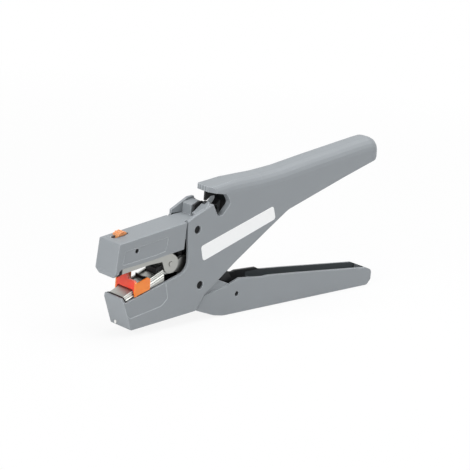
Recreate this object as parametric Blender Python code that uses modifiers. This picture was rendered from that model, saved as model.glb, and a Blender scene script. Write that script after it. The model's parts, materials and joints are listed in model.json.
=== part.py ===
"""Automatic wire stripper: a pistol-shaped tool whose lever closes a jaw and draws two blade carriages back.

Run with blender --background --python part.py. Lengths are metres. X runs from the jaws to the handles,
the side with the label faces -Y, and Z is up. The tool stands on the lever's flat underside, and the origin
is on that plane, below the middle of the tool's length and width.
"""
import math

import bmesh
import bpy
from mathutils import Matrix, Vector

MM = 0.001

# Widths across the tool
BODY_WIDTH = 16.0 * MM
BODY_WALL = 1.8 * MM
HANDLE_WALL = 2.0 * MM
HANDLE_ROOF = 4.2 * MM
HANDLE_ROUND = 6.5 * MM
NOTCH_RIM = 3.6 * MM
JAW_WALL = 1.8 * MM
JAW_ROOF = 2.4 * MM
LEVER_STEP = 1.2 * MM
LEVER_WALL = 1.5 * MM
LEVER_FLOOR = 1.6 * MM
EAR_THICKNESS = 1.7 * MM
CARRIAGE_PLATE = 1.0 * MM
LINK_GAP = 0.7 * MM
LINK_CHEEK = 1.3 * MM
BLADE_THICKNESS = 0.6 * MM
CUTTER_THICKNESS = 0.8 * MM
LINER_THICKNESS = 0.8 * MM
STOP_WALL = 1.4 * MM
STOP_SIDE = 0.7 * MM
NOSE_WALL = 1.2 * MM
NOSE_SHOULDER = 1.8 * MM
HANDLE_RIB = 1.4 * MM
LEVER_RIB = 1.6 * MM
OPEN_PIVOT_PLAY = 1.3 * MM

# Pins
PIVOT_DIAMETER = 4.3 * MM
LINK_PIN_DIAMETER = 2.6 * MM
CRANK_PIN_DIAMETER = 3.0 * MM
CLAMP_PIN_DIAMETER = 2.4 * MM
RIVET_DIAMETER = 2.6 * MM
NOSE_PIN_DIAMETER = 1.9 * MM
PIN_RECESS = 0.9 * MM
LINK_PIN_RECESS = 0.5 * MM
SPRING_WIRE = 1.0 * MM
SPRING_TURNS = 3.5

# Clearances
FIT = 0.15 * MM
RUN = 0.35 * MM
EDGE = 0.45 * MM

# The tool's two ends, measured from the lower jaw's nose
FRONT_END = -7.4 * MM
REAR_END = 188.3 * MM

# Angles and travels
DECK_ANGLE = math.radians(15.6)
RAIL_ANGLE = math.radians(22.0)
JAW_ANGLE = math.radians(7.5)
STROKE = 16.0 * MM

CENTRE_X = (FRONT_END + REAR_END) / 2
HALF = BODY_WIDTH / 2
INSIDE = HALF - BODY_WALL
EAR_OUTSIDE = INSIDE - RUN
CARRIAGE_HALF = EAR_OUTSIDE - RUN
CHANNEL_HALF = CARRIAGE_HALF - CARRIAGE_PLATE
CORE_HALF = CHANNEL_HALF - RUN
FORK_HALF = EAR_OUTSIDE - EAR_THICKNESS
LINK_HALF = FORK_HALF - LINK_GAP
CRANK_HALF = LINK_HALF - LINK_CHEEK - RUN
LEVER_HALF = HALF - LEVER_STEP

JAW_PIVOT = (47.7 * MM, 51.7 * MM)
LEVER_PIVOT = (52.6 * MM, 20.8 * MM)
LINK_PIVOT = (81.7 * MM, 11.0 * MM)
CRANK_ARM_LINK = 13.84 * MM
CRANK_ANGLE_LINK = math.radians(-40.0)
CRANK_ARM_YOKE = 17.0 * MM
CRANK_ANGLE_YOKE = math.radians(-96.0)

parts = None
cutters = None


def start():
    """Empties the scene and makes the two collections."""
    global parts, cutters
    for obj in list(bpy.data.objects):
        bpy.data.objects.remove(obj, do_unlink=True)
    parts = bpy.data.collections.new("wire_stripper")
    cutters = bpy.data.collections.new("wire_stripper_cutters")
    cutters.hide_render = True
    for collection in (parts, cutters):
        bpy.context.scene.collection.children.link(collection)


def material(name, colour, roughness, metallic=0.0):
    made = bpy.data.materials.new(name)
    made.use_nodes = True
    shader = made.node_tree.nodes["Principled BSDF"]
    shader.inputs["Base Color"].default_value = (*colour, 1.0)
    shader.inputs["Roughness"].default_value = roughness
    shader.inputs["Metallic"].default_value = metallic
    made.diffuse_color = (*colour, 1.0)
    return made


def mm(*points):
    """Points written in millimetres, as metres."""
    return [tuple(value * MM for value in point) for point in points]


def rounded(corners, step=math.radians(15.0)):
    """An outline from (x, z, radius) corners in millimetres, each corner an arc of that radius."""
    outline = []
    count = len(corners)
    for i, (x, z, radius) in enumerate(corners):
        here = Vector((x, z)) * MM
        before = (Vector(corners[i - 1][:2]) * MM - here).normalized()
        after = (Vector(corners[(i + 1) % count][:2]) * MM - here).normalized()
        turn = math.pi - before.angle(after)
        if radius == 0 or turn < math.radians(2.0):
            outline.append(tuple(here))
            continue
        radius *= MM
        reach = radius * math.tan(turn / 2)
        centre = here + (before + after).normalized() * radius / math.cos(turn / 2)
        arm = here + before * reach - centre
        sweep = arm.angle_signed(here + after * reach - centre)
        pieces = max(1, math.ceil(abs(sweep) / step))
        for k in range(pieces + 1):
            spot = arm.copy()
            spot.rotate(Matrix.Rotation(-sweep * k / pieces, 2))
            outline.append(tuple(centre + spot))
    return outline


def capsule(first, last, radius, half_turn=8):
    """The outline of a bar with round ends, from one pivot to another."""
    along = math.atan2(last[1] - first[1], last[0] - first[0])
    outline = []
    for centre, towards in ((last, along), (first, along + math.pi)):
        for i in range(half_turn + 1):
            angle = towards - math.pi / 2 + math.pi * i / half_turn
            outline.append((centre[0] + radius * math.cos(angle), centre[1] + radius * math.sin(angle)))
    return outline


SIDE = Matrix.Rotation(math.pi / 2, 4, "X")
FACE = Matrix(((0, 0, 1, 0), (1, 0, 0, 0), (0, 1, 0, 0), (0, 0, 0, 1)))
PLAN = Matrix.Identity(4)


def plate(name, outline, thickness, middle=0.0, lie=SIDE, keep=True):
    """A flat outline of even thickness. SIDE outlines are (x, z), FACE ones (y, z) and PLAN ones (x, y)."""
    curve = bpy.data.curves.new(name, "CURVE")
    curve.dimensions = "2D"
    curve.fill_mode = "BOTH"
    curve.extrude = thickness / 2
    spline = curve.splines.new("POLY")
    spline.points.add(len(outline) - 1)
    for point, (across, up) in zip(spline.points, outline):
        point.co = (across, up, 0.0, 1.0)
    spline.use_cyclic_u = True
    guide = bpy.data.objects.new(name + "_outline", curve)
    parts.objects.link(guide)
    away = -middle if lie is SIDE else middle
    home = Matrix.Translation((-CENTRE_X, 0, 0)) @ lie @ Matrix.Translation((0, 0, away))
    guide.matrix_world = home
    return to_mesh(guide, name, home, keep)


def to_mesh(guide, name, home, keep):
    """Turns a curve into a mesh with its caps welded on and their triangles merged into one face."""
    bpy.context.view_layer.update()
    graph = bpy.context.evaluated_depsgraph_get()
    mesh = bpy.data.meshes.new_from_object(guide.evaluated_get(graph))
    bpy.data.objects.remove(guide, do_unlink=True)
    bm = bmesh.new()
    bm.from_mesh(mesh)
    bmesh.ops.remove_doubles(bm, verts=bm.verts, dist=0.01 * MM)
    bmesh.ops.dissolve_limit(bm, angle_limit=math.radians(0.5), verts=bm.verts, edges=bm.edges)
    bmesh.ops.recalc_face_normals(bm, faces=bm.faces)
    bm.to_mesh(mesh)
    bm.free()
    mesh.name = name
    return add(name, mesh, home, keep)


def add(name, mesh, home, keep=True):
    obj = bpy.data.objects.new(name, mesh)
    (parts if keep else cutters).objects.link(obj)
    obj.matrix_world = home
    if not keep:
        obj.hide_render = True
        obj.display_type = "WIRE"
    return obj


def rod(name, centre, diameter, low, high, keep=True, sides=24):
    """A round pin across the tool, from y = low to y = high."""
    bm = bmesh.new()
    bmesh.ops.create_cone(
        bm, cap_ends=True, segments=sides, radius1=diameter / 2, radius2=diameter / 2, depth=high - low
    )
    mesh = bpy.data.meshes.new(name)
    bm.to_mesh(mesh)
    bm.free()
    spot = Matrix.Translation((centre[0] - CENTRE_X, (low + high) / 2, centre[1]))
    return add(name, mesh, spot @ SIDE, keep)


def combine(obj, other, operation):
    modifier = obj.modifiers.new(operation.lower() + "_" + other.name, "BOOLEAN")
    modifier.operation = operation
    modifier.object = other
    modifier.solver = "EXACT"


def cut(obj, *others):
    for other in others:
        combine(obj, other, "DIFFERENCE")


def fuse(obj, *others):
    for other in others:
        combine(obj, other, "UNION")


def bore(obj, name, centre, diameter, reach=2 * BODY_WIDTH):
    cut(obj, rod(name, centre, diameter, -reach / 2, reach / 2, keep=False))


def soften(obj, width, share=None, segments=2):
    """Rounds the two outlines of a plate. share(x, z) gives each edge's part of the width."""
    mesh = obj.data
    weights = mesh.attributes.new("bevel_weight_edge", "FLOAT", "EDGE")
    for edge in mesh.edges:
        a, b = (mesh.vertices[i].co for i in edge.vertices)
        if abs(a.z - b.z) > 0.1 * MM:
            continue
        weights.data[edge.index].value = share((a.x + b.x) / 2, (a.y + b.y) / 2) if share else 1.0
    bevel = obj.modifiers.new("edges", "BEVEL")
    bevel.limit_method = "WEIGHT"
    bevel.width = width
    bevel.segments = segments
    bevel.use_clamp_overlap = False


def finish(obj, look):
    """Gives a piece its material and smooth shading between its sharp edges."""
    obj.data.materials.clear()
    obj.data.materials.append(look)
    obj.data.shade_smooth()
    obj.data.set_sharp_from_angle(angle=math.radians(30.0))
    return obj


def hinge(name, centre, carried_by, *pieces):
    """An empty on a joint's axis, which carries the pieces that move together."""
    empty = bpy.data.objects.new(name, None)
    parts.objects.link(empty)
    empty.location = (centre[0] - CENTRE_X, 0.0, centre[1])
    bpy.context.view_layer.update()
    for child in pieces:
        place = child.matrix_world.copy()
        child.parent = empty
        child.matrix_parent_inverse = empty.matrix_world.inverted()
        child.matrix_world = place
    if carried_by:
        place = empty.matrix_world.copy()
        empty.parent = carried_by
        empty.matrix_parent_inverse = carried_by.matrix_world.inverted()
        empty.matrix_world = place
    return empty


def polar(centre, radius, angle):
    return (centre[0] + radius * math.cos(angle), centre[1] + radius * math.sin(angle))


# Lines that several pieces share, in the lower jaw's own coordinates
DECK_START = (0.0, 18.4 * MM)
RAIL_START = (0.3 * MM, 21.1 * MM)
NOSE_TOP = 21.4 * MM
NOSE_FOOT = (5.9 * MM, 3.2 * MM)
NOSE_LEAN = (NOSE_FOOT[0] - DECK_START[0]) / (DECK_START[1] - NOSE_FOOT[1])
RAIL_REAR = 27.5 * MM
MOUTH_REAR = 43.5 * MM
MOUTH_TOP = 40.5 * MM
JAW_REAR = 40.0 * MM
CRANK_LINK = polar(JAW_PIVOT, CRANK_ARM_LINK, CRANK_ANGLE_LINK)
CRANK_YOKE = polar(JAW_PIVOT, CRANK_ARM_YOKE, CRANK_ANGLE_YOKE)
LUG = (32.8 * MM, 34.6 * MM)
LUG_RADIUS = 5.0 * MM
TROUGH_DEPTH = 4.6 * MM
LINER_LIFT = 2.1 * MM
LINER_FOOT = DECK_START[1] - TROUGH_DEPTH + LINER_LIFT
RAIL_SLOT_FRONT = 10.0 * MM
RAIL_SLOT_DEPTH = 4.3 * MM
# The rail's ridged side: how far it lies inside the body's side, and how far above the rail's top
RAIL_SIDE = mm(
    (2.7, 0.0),
    (2.3, -0.3),
    (2.5, -0.8),
    (1.85, -1.2),
    (2.05, -1.8),
    (1.4, -2.3),
    (1.65, -2.9),
    (1.25, -3.4),
    (1.25, -9.0),
)
STOP_X = 7.7 * MM
LOWER_BLADE_X = 17.5 * MM
UPPER_BLADE_X = 12.1 * MM
NOSE_PIN = (3.2 * MM, 5.2 * MM)
CLAMP_PIN = (6.5 * MM, 46.0 * MM)
ADJUSTER_Y = 2.5 * MM
ADJUSTER_X = 2.8 * MM
ADJUSTER_STEM = 3.0 * MM
ADJUSTER_SLOT = ((ADJUSTER_X - 3.4 * MM, ADJUSTER_Y), (ADJUSTER_X + 3.4 * MM, ADJUSTER_Y))
ADJUSTER_TOP = 52.1 * MM
FIXED_CUTTER_Y = -0.2 * MM
TAIL_NEAR = FIXED_CUTTER_Y - CUTTER_THICKNESS / 2
HANDLE_END = REAR_END - 4.0 * MM
CREST = mm((56.6, 72.8), (73.5, 75.0), (93.0, 75.7), (108.2, 77.1), (131.1, 80.6))
# Behind its last bend the handle runs straight, so that its end is higher the longer it is
HANDLE_RISE = 5.7 / 40.9
END_CREST = CREST[-1][1] + (HANDLE_END - 12.3 * MM - CREST[-1][0]) * HANDLE_RISE
CREST.append((HANDLE_END - 12.3 * MM, END_CREST))


def deck(x):
    return DECK_START[1] + (x - DECK_START[0]) * math.tan(DECK_ANGLE)


def rail_top(x):
    return RAIL_START[1] + (x - RAIL_START[0]) * math.tan(RAIL_ANGLE)


def nose(z):
    """x of the leaning front face at a height."""
    return DECK_START[0] + (DECK_START[1] - z) * NOSE_LEAN


def crest(x):
    """Height of the handle's top line."""
    for (x0, z0), (x1, z1) in zip(CREST, CREST[1:]):
        if x <= x1:
            return z0 + (x - x0) * (z1 - z0) / (x1 - x0)
    return CREST[-1][1]


def main_body(look):
    top = [(x / MM, z / MM, 25.0) for x, z in reversed(CREST[1:])]
    wall_x = (nose(NOSE_TOP) + NOSE_WALL) / MM
    end, end_top = HANDLE_END / MM, END_CREST / MM
    outline = rounded([
        (nose(NOSE_TOP) / MM, NOSE_TOP / MM, 0.5),
        (NOSE_FOOT[0] / MM, NOSE_FOOT[1] / MM, 1.2),
        (51.3, 6.6, 1.0),
        (56.4, 14.5, 2.0),
        (77.9, 30.0, 0),
        (101.3, 45.4, 20),
        (114.3, 53.7, 14),
        (end - 27.8, end_top - 19.4, 40),
        (end - 0.4, end_top - 11.4, 0),
        (end, end_top + 1.2, 6.9),
        *top,
        (CREST[0][0] / MM, CREST[0][1] / MM, 0),
        (56.6, 63.9, 0),
        (46.9, 60.3, 8),
        (MOUTH_TOP / MM, 57.2, 1.0),
        (MOUTH_REAR / MM, deck(MOUTH_REAR) / MM - 0.4, 7.0),
        (wall_x + 1.0, deck((wall_x + 1.0) * MM) / MM, 0.7),
        (wall_x, NOSE_TOP / MM, 0.5),
    ])
    body = plate("main_body", outline, BODY_WIDTH)

    def share(x, z):
        top_edge = x > 60 * MM and z > crest(x) - 3 * MM
        return 1.0 if x > HANDLE_END - 1.3 * MM or top_edge else 0.07

    soften(body, HANDLE_ROUND, share, segments=5)

    # The front wall's top is narrower than the jaw, with sloping shoulders
    rise = (NOSE_TOP - deck(0)) / NOSE_SHOULDER * 0.3 * MM
    inner, outer, far = HALF - NOSE_SHOULDER - 0.3 * MM, HALF + 0.3 * MM, HALF + 3 * MM
    slope = ((inner, NOSE_TOP + rise - 0.07 * MM), (outer, deck(0) - rise - 0.13 * MM))
    above = ((far, deck(0) - rise - 0.13 * MM), (far, 27 * MM), (inner, 27 * MM))
    for side in (-1, 1):
        shoulder = [(side * y, z) for y, z in (*slope, *above)]
        cut(body, plate(f"shoulder_{side}", shoulder, 8 * MM, 0.0, FACE, keep=False))

    # The hollow: the lower jaw's trough, then room for carriages, crank and link, open below for the lever
    slope = math.tan(DECK_ANGLE)
    trough = DECK_START[1] - (TROUGH_DEPTH - slope * NOSE_WALL) / (1 + slope * NOSE_LEAN)
    hollow = [
        (nose(24 * MM) + NOSE_WALL, 24 * MM),
        (nose(trough) + NOSE_WALL, trough),
        (28.5 * MM, deck(28.5 * MM) - TROUGH_DEPTH),
        (30.0 * MM, 7.1 * MM + BODY_WALL - 1.0 * MM),
        (50.2 * MM, 8.4 * MM + BODY_WALL - 1.0 * MM),
        *mm((54, 2), (118, 2)),
        (118 * MM, crest(118 * MM) - HANDLE_ROOF),
        (90 * MM, crest(90 * MM) - HANDLE_ROOF),
        *mm((77, 69.5), (75, 62.5), (67, 54.8), (61.2, 54.8), (61.2, 58.5)),
        *mm((57.5, 64.9), (55.2, 66), (55.2, 69)),
        *mm((38, 69), (34, 42)),
    ]
    notch = rounded([
        (48, 70.6, 0),
        (56.5, 70.0, 0),
        (66.8, 68.6, 2.0),
        (70.6, 63.4, 2.5),
        (64.6, 57.0, 2.6),
        (61.3, 57.6, 1.6),
        (57.6, 64.2, 0.8),
        (54, 64.6, 0),
        (48, 64.6, 0),
    ])
    notch_hollow = mm((55, 56), (55, 68.2), (66, 67.4), (70.5, 66.0), (74.2, 61.5), (68, 54), (58, 54))
    cut(
        body,
        plate("hollow", hollow, 2 * INSIDE, keep=False),
        plate("notch", notch, 2 * BODY_WIDTH, keep=False),
        plate("notch_hollow", notch_hollow, BODY_WIDTH - 2 * NOTCH_RIM, keep=False),
    )
    # The handle is a channel open below, stiffened by cross ribs
    ribs = 4
    rib = HANDLE_RIB
    first, last = 117.4 * MM, HANDLE_END - 3.8 * MM
    pitch = (last - first) / (ribs + 1)
    for i in range(ribs + 1):
        low = first + pitch * i + (rib if i else 0)
        high = first + pitch * (i + 1)
        roof = [(high, crest(high) - HANDLE_ROOF), (low, crest(low) - HANDLE_ROOF)]
        pocket = [(low, 40 * MM), (high, 40 * MM), *roof]
        cut(body, plate(f"pocket_{i + 1}", pocket, BODY_WIDTH - 2 * HANDLE_WALL, keep=False))
    # The end's lower corner is rounded as well
    corner = rounded([
        (end - 14.3, end_top - 26.3, 0),
        (end + 10.7, end_top - 26.3, 0),
        (end + 10.7, end_top - 4.3, 0),
        (end - 0.1, end_top - 4.3, 0),
        (end - 0.4, end_top - 11.4, 6.5),
        (end - 14.3, end_top - 15.35, 0),
    ])
    cut(body, plate("end_corner", corner, 2 * BODY_WIDTH, keep=False))
    # Shallow sunk panel on each side of the lower jaw
    panel = rounded([
        (-3, 17.4, 0),
        (4.9, 9.9, 1),
        (26.0, 13.4, 2.5),
        (30.2, 17.0, 2),
        (28.1, 25.2, 0.5),
        (27.0, 29.0, 0),
    ])
    for side in (-1, 1):
        cut(body, plate(f"jaw_panel_{side}", panel, 0.5 * MM, side * HALF, keep=False))
    for name, centre in (("jaw_pivot_bore", JAW_PIVOT), ("lever_pivot_bore", LEVER_PIVOT)):
        bore(body, name, centre, PIVOT_DIAMETER + 2 * FIT)
    # Roof strip beside the moving cutter, rising from the near wall to the blade
    inner = TAIL_NEAR - CUTTER_THICKNESS - 2 * RUN
    edge = -HALF + 0.5 * MM
    roof = [
        (edge, 58.9 * MM),
        (inner, 58.9 * MM),
        (inner, 65.4 * MM),
        (edge + 2.1 * MM, 65.2 * MM),
        (edge, 63.4 * MM),
    ]
    strip = plate("roof_strip", roof, 8.4 * MM, 52.3 * MM, FACE, keep=False)
    ramp = mm((44, 57.6), (49.6, 60.2), (57.6, 65.9), (57.6, 68), (44, 68))
    cut(strip, plate("roof_ramp", ramp, BODY_WIDTH, keep=False))
    under = mm((44, 57), (49.4, 59.1), (56.9, 61.4), (57.0, 57))
    cut(strip, plate("roof_underside", under, BODY_WIDTH, keep=False))
    fuse(body, strip)
    # The far wall stands higher than the near one
    fin = mm((41.2, 56.6), (57.2, 63.0), (56.4, 65.6), (52.4, 65.4), (41.2, 59.8))
    fin_middle = HALF - 0.3 * MM - (BODY_WALL - 0.3 * MM) / 2
    fuse(body, plate("far_fin", fin, BODY_WALL - 0.3 * MM, fin_middle, keep=False))
    # The hook narrows to its front, whose face is ribbed for the thumb
    for side in (-1, 1):
        inset = mm((50, 4.0), (56.4, 4.0), (60.0, 0.7), (66.0, -0.2), (66.0, -4), (50, -4))
        taper = [(x, side * (HALF - y)) for x, y in inset]
        cut(body, plate(f"hook_taper_{side}", taper, 12 * MM, 74.6 * MM, PLAN, keep=False))
    grooves = 4
    for i in range(grooves):
        across = (i - (grooves - 1) / 2) * 2.0 * MM
        groove = [(x, across + y) for x, y in mm((56, -0.45), (56.95, 0), (56, 0.45))]
        cut(body, plate(f"hook_rib_{i + 1}", groove, 9 * MM, 71.0 * MM, PLAN, keep=False))
    slot = mm((57.5, 60), (57.5, 71.8), (66.8, 71.4), (66.8, 60))
    cut(body, plate("blade_slot", slot, CUTTER_THICKNESS + 2 * FIT, FIXED_CUTTER_Y, keep=False))
    return finish(body, look)


def upper_jaw(look):
    outline = rounded([
        (-5.9, 51.1, 0.8),
        (FRONT_END / MM, 35.5, 1.0),
        (-6.7, 32.7, 0.6),
        (-5.0, 32.9, 0.6),
        (-4.6, 36.4, 0.6),
        (-3.2, 37.4, 1),
        (8.8, 38.4, 0),
        (21.7, 39.9, 0),
        (31.9, 41.3, 0),
        (JAW_REAR / MM - 0.8, 42.2, 0.8),
        (JAW_REAR / MM, 57.0, 0.8),
    ])
    jaw = plate("upper_jaw", outline, BODY_WIDTH)
    soften(jaw, EDGE, segments=2)
    tail = rounded([
        (38.6, 47.4, 0),
        (42.0, 46.5, 1),
        (47.7, 45.9, 4),
        (53.5, 46.6, 4),
        (56.5, 51.5, 3),
        (58.6, 57.6, 1),
        (49.3, 57.9, 0.3),
        (42.0, 57.5, 0.5),
        (38.6, 56.8, 0),
    ])
    block = mm((48.6, 57.2), (58.2, 57.2), (58.2, 60.6), (55.8, 64.4), (49.4, 63.6), (48.6, 63.2))
    fuse(jaw, plate("jaw_tail", tail, 2 * EAR_OUTSIDE, keep=False))
    fork = mm((40.6, 40), (40.6, 56.5), (54.0, 56.5), (58.0, 57.0), (64, 57.4), (64, 40))
    cut(jaw, plate("tail_fork", fork, 2 * FORK_HALF, keep=False))
    block_middle = (EAR_OUTSIDE + TAIL_NEAR) / 2
    fuse(jaw, plate("tail_block", block, EAR_OUTSIDE - TAIL_NEAR, block_middle, keep=False))
    roof_front, roof_rear = 51.4 * MM - JAW_ROOF, 56.8 * MM - JAW_ROOF
    hollow = [
        *mm((-5.2, 28)),
        (-4.5 * MM, roof_front),
        (JAW_REAR - JAW_WALL, roof_rear),
        (JAW_REAR - JAW_WALL, 47.4 * MM),
        *mm((43, 47.4), (43, 28)),
    ]
    cut(jaw, plate("jaw_hollow", hollow, 2 * (HALF - JAW_WALL), keep=False))
    for side in (-1, 1):
        inset = mm((3.3, 32.2), (-0.4, 35.9), (-5, 35.9), (-5, 29), (3.3, 29))
        chin = [(side * (HALF - y), z) for y, z in inset]
        cut(jaw, plate(f"chin_{side}", chin, 10 * MM, -6 * MM, FACE, keep=False))
    panel = rounded([
        (-3.0, 39.6, 0.6),
        (20.0, 42.0, 0.6),
        (26.2, 43.2, 0.6),
        (27.4, 50.6, 0.6),
        (-1.6, 46.8, 0.6),
    ])
    for side in (-1, 1):
        cut(jaw, plate(f"side_panel_{side}", panel, 0.4 * MM, side * HALF, keep=False))
    slot = capsule(*ADJUSTER_SLOT, ADJUSTER_STEM / 2 + RUN)
    cut(jaw, plate("adjuster_slot", slot, 8 * MM, 52 * MM, PLAN, keep=False))
    bore(jaw, "jaw_ear_bore", JAW_PIVOT, PIVOT_DIAMETER + 2 * RUN)
    bore(jaw, "clamp_pin_bore", CLAMP_PIN, CLAMP_PIN_DIAMETER + 2 * FIT)
    return finish(jaw, look)


def depth_adjuster(look):
    """Thumb slider with a stem through the slot, a ribbed head on the roof and a foot under it."""
    x, y = ADJUSTER_X, ADJUSTER_Y
    across = capsule((x - 0.9 * MM, y), (x + 0.9 * MM, y), ADJUSTER_STEM / 2)
    stem = plate("depth_adjuster", across, 4.4 * MM, 51.0 * MM, PLAN)
    low = ADJUSTER_TOP + 0.6 * MM
    right = mm((2.7, 0), (2.5, 1.1), (1.6, 1.1), (1.3, 1.7), (0.4, 1.7))
    head = [*right, (0, 1.2 * MM), *[(-u, v) for u, v in reversed(right)]]
    lean = math.tan(JAW_ANGLE)
    head = [(x + u, low + v + u * lean) for u, v in head]
    foot = [(x + u, 49.4 * MM + v + u * lean) for u, v in mm((-2.6, 0), (2.6, 0), (2.6, -1.0), (-2.6, -1.0))]
    fuse(
        stem,
        plate("adjuster_head", head, 4.6 * MM, y, keep=False),
        plate("adjuster_foot", foot, 5.0 * MM, y, keep=False),
    )
    return finish(stem, look)


def upper_clamp(look):
    """Steel clamping jaw behind the upper jaw's chin, with an arm back to its pin."""
    face = mm((-4.5, 32.9), (-1.4, 33.5), (-1.4, 41.9))
    arm = mm((8.9, 43.2), (8.9, 47.8), (-4.0, 46.5), (-4.4, 40.2))
    outline = [*face, *arm]
    clamp = plate("upper_clamp_jaw", outline, 2 * (HALF - JAW_WALL - RUN))
    for side in (-1, 1):
        inset = mm((3.4, 32.5), (1.4, 34.9), (-1, 34.9), (-1, 30), (3.4, 30))
        corner = [(side * (HALF - y), z) for y, z in inset]
        cut(clamp, plate(f"clamp_corner_{side}", corner, 10 * MM, -4 * MM, FACE, keep=False))
    bore(clamp, "clamp_arm_bore", CLAMP_PIN, CLAMP_PIN_DIAMETER + 2 * FIT)
    return finish(clamp, look)


def upper_carriage(look):
    """Folded steel channel, open below, with a round lug at the rear of each side plate."""
    lug = [polar(LUG, LUG_RADIUS, math.radians(a)) for a in range(-150, 61, 14)]
    above = mm((30.5, 41.6), (25.6, 43.7), (1.0, 40.5), (-0.6, 39.6))
    outline = [*mm((-0.6, 33.9), (18.1, 36.3), (26.6, 36.6)), *lug, *above]
    carriage = plate("upper_carriage", outline, 2 * CARRIAGE_HALF)
    inner = mm((-3, 28), (-3, 38.6), (1.0, 39.6), (25.6, 42.8), (26.6, 43.6), (30, 46), (45, 46), (45, 28))
    cut(carriage, plate("carriage_inside", inner, 2 * CHANNEL_HALF, keep=False))
    bore(carriage, "rivet_bore", LUG, RIVET_DIAMETER + 2 * FIT)
    return finish(carriage, look)


def carriage_rivets(look):
    """Two short shouldered rivets, one in each lug."""
    inner, outer = CHANNEL_HALF - RUN, CARRIAGE_HALF + 0.3 * MM
    near = rod("carriage_rivet_near", LUG, RIVET_DIAMETER, -outer, -inner)
    far = rod("carriage_rivet_far", LUG, RIVET_DIAMETER, inner, outer)
    return [finish(near, look), finish(far, look)]


def blade_plate(name, x, low, high, look, dip):
    """A thin blade across the tool; its edge has a shallow V of depth dip."""
    half = CORE_HALF
    edge = low if dip > 0 else high
    other = high if dip > 0 else low
    outline = [(-half, other), (-half, edge), (0.0, edge + dip), (half, edge), (half, other)]
    blade = plate(name, outline, BLADE_THICKNESS, x, FACE)
    return finish(blade, look)


def upper_blade_block(look):
    outline = mm((5.2, 36.9), (11.4, 37.3), (11.4, 40.5), (5.2, 39.7))
    return finish(plate("upper_blade_block", outline, 2 * CORE_HALF), look)


def along_rail(start):
    """Local x across the tool, local y square to the rail and local z along it."""
    u = Vector((math.cos(RAIL_ANGLE), 0, math.sin(RAIL_ANGLE)))
    n = Vector((-math.sin(RAIL_ANGLE), 0, math.cos(RAIL_ANGLE)))
    return Matrix(((0, n.x, u.x, start[0]), (1, 0, 0, 0), (0, n.z, u.z, start[1]), (0, 0, 0, 1)))


def lower_clamp_rail(look):
    """Fixed steel rail: clamping face in front, ridged sides, and a slot for the lower carriage."""
    behind = NOSE_WALL + LINER_THICKNESS + 2 * RUN
    front_top = nose(rail_top(2.5 * MM)) + behind
    front_low = nose(LINER_FOOT) + behind
    upper = [
        (front_top, rail_top(front_top)),
        (RAIL_REAR, rail_top(RAIL_REAR)),
        (RAIL_REAR, deck(RAIL_REAR) + RUN),
        (nose(deck(3 * MM)) + behind, deck(3 * MM) + RUN),
    ]
    rail = plate("lower_clamp_rail", upper, BODY_WIDTH)
    for side in (-1, 1):
        inset = ((RAIL_SIDE[0][0], 1.0 * MM), *RAIL_SIDE, *mm((-1.5, -9.0), (-1.5, 1.0)))
        edge = [(side * (HALF - y), h) for y, h in inset]
        cutter = plate(f"rail_side_{side}", edge, 90 * MM, 0.0, along_rail(RAIL_START), keep=False)
        cut(rail, cutter)
    foot = [
        (front_low, deck(front_low) - TROUGH_DEPTH + RUN),
        (RAIL_REAR, deck(RAIL_REAR) - TROUGH_DEPTH + RUN),
        (RAIL_REAR, deck(RAIL_REAR) + 1.5 * MM),
        (nose(deck(4 * MM)) + behind + RUN, deck(4 * MM) + 1.0 * MM),
    ]
    fuse(rail, plate("rail_foot", foot, 2 * (INSIDE - RUN), keep=False))
    a, b = (RAIL_SLOT_FRONT, rail_top(RAIL_SLOT_FRONT)), (40 * MM, rail_top(40 * MM))
    slot = [
        (a[0], a[1] + 5 * MM),
        (a[0], a[1] - RAIL_SLOT_DEPTH),
        (b[0], b[1] - RAIL_SLOT_DEPTH),
        (b[0], b[1] + 5 * MM),
    ]
    cut(rail, plate("carriage_slot", slot, 2 * (CORE_HALF + RUN / 2), keep=False))
    return finish(rail, look)


def lower_liner(look):
    """Thin black pad between the front wall and the steel, as wide as the wall above the deck."""
    def shoulder(z):
        low, high = (HALF + 0.2 * MM, deck(0)), (HALF - NOSE_SHOULDER - 0.3 * MM, NOSE_TOP + 0.2 * MM)
        return low[0] + (high[0] - low[0]) * (z - low[1]) / (high[1] - low[1])

    def front(z):
        return nose(z) + NOSE_WALL + RUN

    step, narrow = deck(3 * MM) + RUN, INSIDE - RUN
    right = [(narrow, LINER_FOOT), (narrow, step), (shoulder(step), step), (shoulder(NOSE_TOP), NOSE_TOP)]
    outline = right + [(-y, z) for y, z in reversed(right)]
    liner = plate("lower_liner", outline, 6 * MM, front(NOSE_TOP), FACE)
    low, high = 14 * MM, 24 * MM
    for name, start_x, beyond in (("liner_front", 0, -8 * MM), ("liner_back", LINER_THICKNESS, 8 * MM)):
        a, b = front(low) + start_x, front(high) + start_x
        side = [(a, low), (b, high), (b + beyond, high), (a + beyond, low)]
        cut(liner, plate(name, side, BODY_WIDTH + 2 * MM, keep=False))
    return finish(liner, look)


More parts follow.
